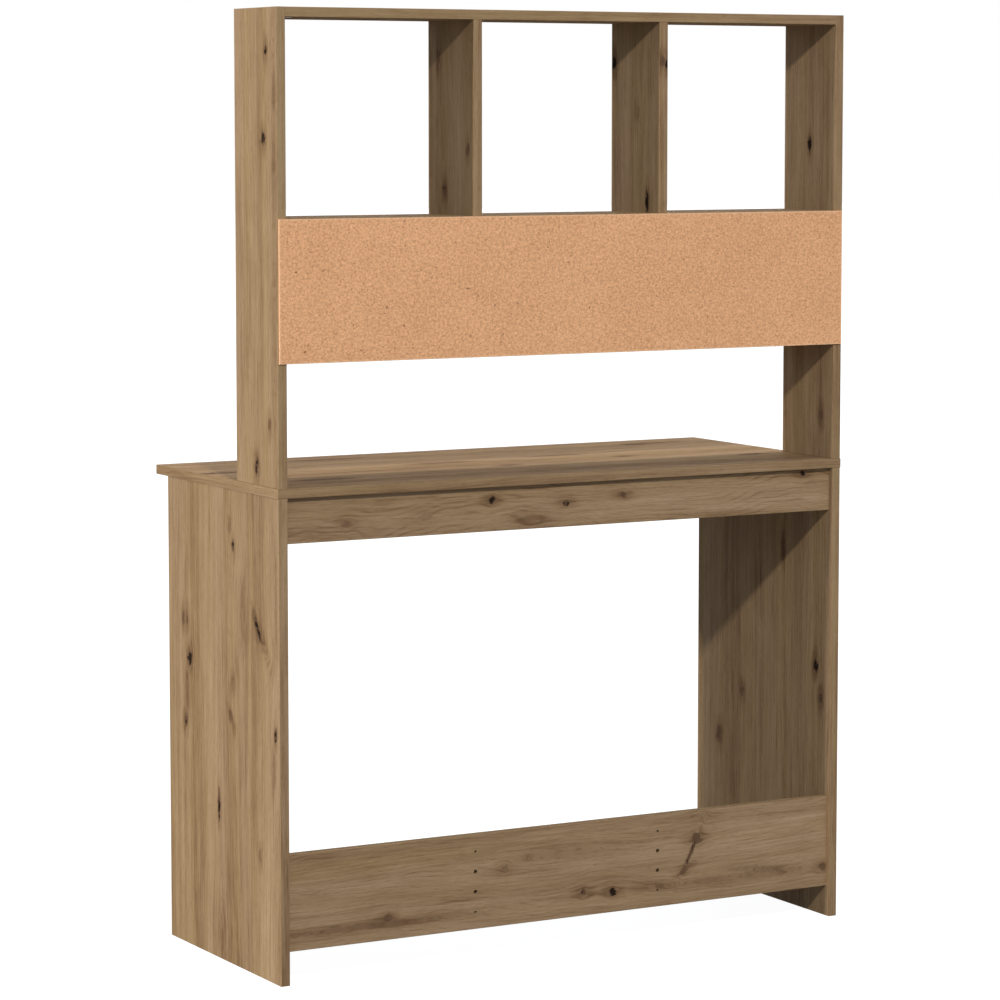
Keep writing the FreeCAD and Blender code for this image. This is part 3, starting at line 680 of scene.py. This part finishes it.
# Hardboard back
# A raw strip of 3 mm hardboard that closes the long compartment and squares the hutch. Its pressed
# fibres show as a fine mottle with a few dark shives, and it is paler along its sawn edges.
DARK_FIBRE = (0.475, 0.225, 0.100, 1)
PALE_FIBRE = (0.925, 0.51, 0.268, 1)
SHIVE = (0.24, 0.11, 0.05, 1)
SHIVE_STRENGTH = 0.85
SAWN_EDGE = (0.93, 0.58, 0.34, 1)
SAWN_STRENGTH = 0.5
SAWN_WIDTH = 3 * MM
HARDBOARD_TONE = 0.53
HARDBOARD_GLOSS = 0.05
FIBRE_RELIEF = 0.3
FIBRE_DEPTH = 0.4 * MM
hardboard, tree, shader = new_finish("raw_hardboard")
spot = add_node(tree, "ShaderNodeTexCoord").outputs["Object"]
mottle = noise(tree, spot, (260.0, 260.0, 270.0), detail=3.0, roughness=0.75)
fibre = noise(tree, spot, (230.0, 400.0, 480.0), roughness=0.6)
patch = noise(tree, spot, (11.0, 11.0, 16.0), detail=3.0)
shive = ramp_between(tree, noise(tree, spot, (170.0, 170.0, 190.0)), 0.70, 0.74)
tone = HARDBOARD_TONE
for part, weight in ((mottle, 1.2), (fibre, 0.4), (patch, 0.15)):
    tone = calc(tree, "MULTIPLY_ADD", calc(tree, "SUBTRACT", part, 0.5), weight, tone)
colour = tint(tree, ramp_between(tree, tone, 0.1, 0.9), DARK_FIBRE, PALE_FIBRE)
colour = tint(tree, calc(tree, "MULTIPLY", shive, SHIVE_STRENGTH), colour, SHIVE)
panel_low, panel_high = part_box("hutch_back_panel")
place = parted(tree, spot)
rim = 0.0
for axis, low, high in (("X", panel_low.x, panel_high.x), ("Z", panel_low.z, panel_high.z)):
    off = calc(tree, "ABSOLUTE", calc(tree, "SUBTRACT", place[axis], (low + high) / 2))
    half = (high - low) / 2
    rim = calc(tree, "MAXIMUM", rim, ramp_between(tree, off, half - SAWN_WIDTH, half))
colour = tint(tree, calc(tree, "MULTIPLY", rim, SAWN_STRENGTH), colour, SAWN_EDGE)
rough = calc(tree, "MULTIPLY_ADD", mottle, -0.2, 0.95)
shader.inputs["Specular IOR Level"].default_value = HARDBOARD_GLOSS
link_finish(tree, shader, colour, rough, tone, FIBRE_RELIEF, FIBRE_DEPTH)
dress("hutch_back_panel", hardboard)

# Hardboard nails
# Small nails plated in yellow zinc, with a low domed head, driven through the hardboard into the rear
# edges of the hutch sides and of both shelves.
YELLOW_PLATE = (0.60, 0.37, 0.19, 1)
DULL_YELLOW_PLATE = (0.44, 0.26, 0.12, 1)
NAIL_CORNERS = 12
NAIL_HEAD = ((-0.40, 0.40), (-0.33, 0.80), (-0.12, 1.15), (0.0, 1.20))
NAIL_SHANK = ((0.0, 0.60), (15.0, 0.60), (16.5, 0.05))
SIDE_NAIL_HEIGHTS = (42 * MM, 119 * MM, 196 * MM)
SHELF_NAIL_PITCH = 160 * MM
SHELF_NAILS_EACH_WAY = 2
nail_spots = []
for board_name in ("hutch_side_left", "hutch_side_right"):
    low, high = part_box(board_name)
    nail_spots += [((low.x + high.x) / 2, panel_low.z + height) for height in SIDE_NAIL_HEIGHTS]
for board_name in ("hutch_lower_shelf", "hutch_upper_shelf"):
    low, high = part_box(board_name)
    for number in range(-SHELF_NAILS_EACH_WAY, SHELF_NAILS_EACH_WAY + 1):
        nail_spots.append((number * SHELF_NAIL_PITCH, (low.z + high.z) / 2))
shape = bmesh.new()
for x, z in nail_spots:
    place = Matrix.Translation((x, panel_high.y, z)) @ Matrix.Rotation(math.radians(90), 4, "X")
    rings = []
    for depth, radius in NAIL_HEAD + NAIL_SHANK:
        rings.append(ring(shape, place, depth * MM, [radius * MM] * NAIL_CORNERS))
    wall(shape, rings)
    shape.faces.new(rings[0])
    shape.faces.new(rings[-1])
yellow_plated = metal("yellow_zinc_plate", YELLOW_PLATE, DULL_YELLOW_PLATE, grain=900.0, roughness=0.45)
fastener("hardboard_nails", shape, yellow_plated)

# Floor
# A plain pale studio floor, not a piece of the desk. It is lifted to white for the camera, and still takes
# the desk's soft shadow from the lamps.
FLOOR_REACH = 40.0
FLOOR_DROP = 0.2 * MM
FLOOR_GREY = (0.20, 0.20, 0.20, 1)
FLOOR_LIFT = 0.94
bpy.ops.mesh.primitive_plane_add(size=2 * FLOOR_REACH, location=(0, 0, -FLOOR_DROP))
floor = bpy.context.object
floor.name = "studio_floor"
floor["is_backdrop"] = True


def seen_ray(tree):
    """1 for rays that the camera sees straight on, in metal or through glass, and 0 for the rest."""
    path = add_node(tree, "ShaderNodeLightPath").outputs
    seen = calc(tree, "MAXIMUM", path["Is Camera Ray"], path["Is Glossy Ray"])
    return calc(tree, "MAXIMUM", seen, path["Is Transmission Ray"])


floor_finish = bpy.data.materials.new("studio_floor")
floor_finish.use_nodes = True
tree = floor_finish.node_tree
tree.nodes.clear()
matt = add_node(tree, "ShaderNodeBsdfDiffuse", {"Color": FLOOR_GREY})
lift = calc(tree, "MULTIPLY", seen_ray(tree), FLOOR_LIFT)
lift = add_node(tree, "ShaderNodeEmission", {"Strength": lift})
both = add_node(tree, "ShaderNodeAddShader", {0: matt.outputs[0], 1: lift.outputs[0]})
add_node(tree, "ShaderNodeOutputMaterial", {"Surface": both.outputs[0]})
floor.data.materials.append(floor_finish)

# Studio light
# A pale, slightly cool surround, a steady light at the desk's side, a weaker one overhead, a broad low fill
# from the front, and a key lamp behind the desk that draws the slanting shadows inside it.
AMBIENT = 0.465
AMBIENT_COLOUR = (0.93, 1.08, 1.37, 1)
WHITE = (1, 1, 1, 1)
world = bpy.data.worlds.new("studio")
bpy.context.scene.world = world
world.use_nodes = True
tree = world.node_tree
surround = tree.nodes["Background"]
seen = seen_ray(tree)
tree.links.new(tint(tree, seen, AMBIENT_COLOUR, WHITE), surround.inputs["Color"])
tree.links.new(choose(tree, seen, AMBIENT, 1.0), surround.inputs["Strength"])

LAMP_COLOUR = (1.0, 0.97, 0.93)
KEY_COLOUR = (1.0, 0.97, 0.90)
KEY_PLACE = (1.25, 3.63, 3.2)
KEY_LEVEL = 0.60
KEY_RADIUS = 0.11
WHOLE_SPHERE = 4.0 * math.pi


def studio_light(name, towards, level, spread):
    """A distant light: the way to it, how bright it makes white card and its width in degrees."""
    lamp = bpy.data.lights.new(name, "SUN")
    lamp.energy = level * math.pi
    lamp.angle = math.radians(spread)
    lamp.color = LAMP_COLOUR
    made = bpy.data.objects.new(name, lamp)
    made.rotation_euler = Vector(towards).to_track_quat("Z", "Y").to_euler()
    bpy.context.scene.collection.objects.link(made)


studio_light("side_light", (0.95, 0.00, 0.31), level=0.85, spread=2.5)
studio_light("top_light", (0.0, 0.0, 1.0), level=0.30, spread=4.0)
studio_light("front_fill", (-0.55, -0.83, 0.08), level=0.45, spread=30.0)
key = bpy.data.lights.new("key_from_behind", "POINT")
key.energy = KEY_LEVEL * math.pi * WHOLE_SPHERE
key.color = KEY_COLOUR
key.shadow_soft_size = KEY_RADIUS
key.use_nodes = True
even = add_node(key.node_tree, "ShaderNodeLightFalloff", {"Strength": 1.0}).outputs["Constant"]
key.node_tree.links.new(even, key.node_tree.nodes["Emission"].inputs["Strength"])
key_lamp = bpy.data.objects.new("key_from_behind", key)
key_lamp.location = KEY_PLACE
bpy.context.scene.collection.objects.link(key_lamp)
bpy.context.scene.view_settings.view_transform = "Standard"

# Camera
# Behind the desk at the height of its hutch, some six metres off, with a long lens tipped a little down.
# A small shift sets the desk in the frame as it is photographed.
CAMERA_PLACE = (2.8667, 5.1240, 1.3208)
CAMERA_TURN = 150.804
CAMERA_DIP = 5.276
LENS = 130.92
SENSOR = 36.0
FRAME_SHIFT = -0.05
lens = bpy.data.cameras.new("photo_camera")
lens.lens = LENS
lens.sensor_width = SENSOR
lens.shift_y = FRAME_SHIFT
camera = bpy.data.objects.new("photo_camera", lens)
camera.location = CAMERA_PLACE
camera.rotation_euler = (math.radians(90.0 - CAMERA_DIP), 0.0, math.radians(CAMERA_TURN))
bpy.context.scene.collection.objects.link(camera)
bpy.context.scene.camera = camera

low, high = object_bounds()
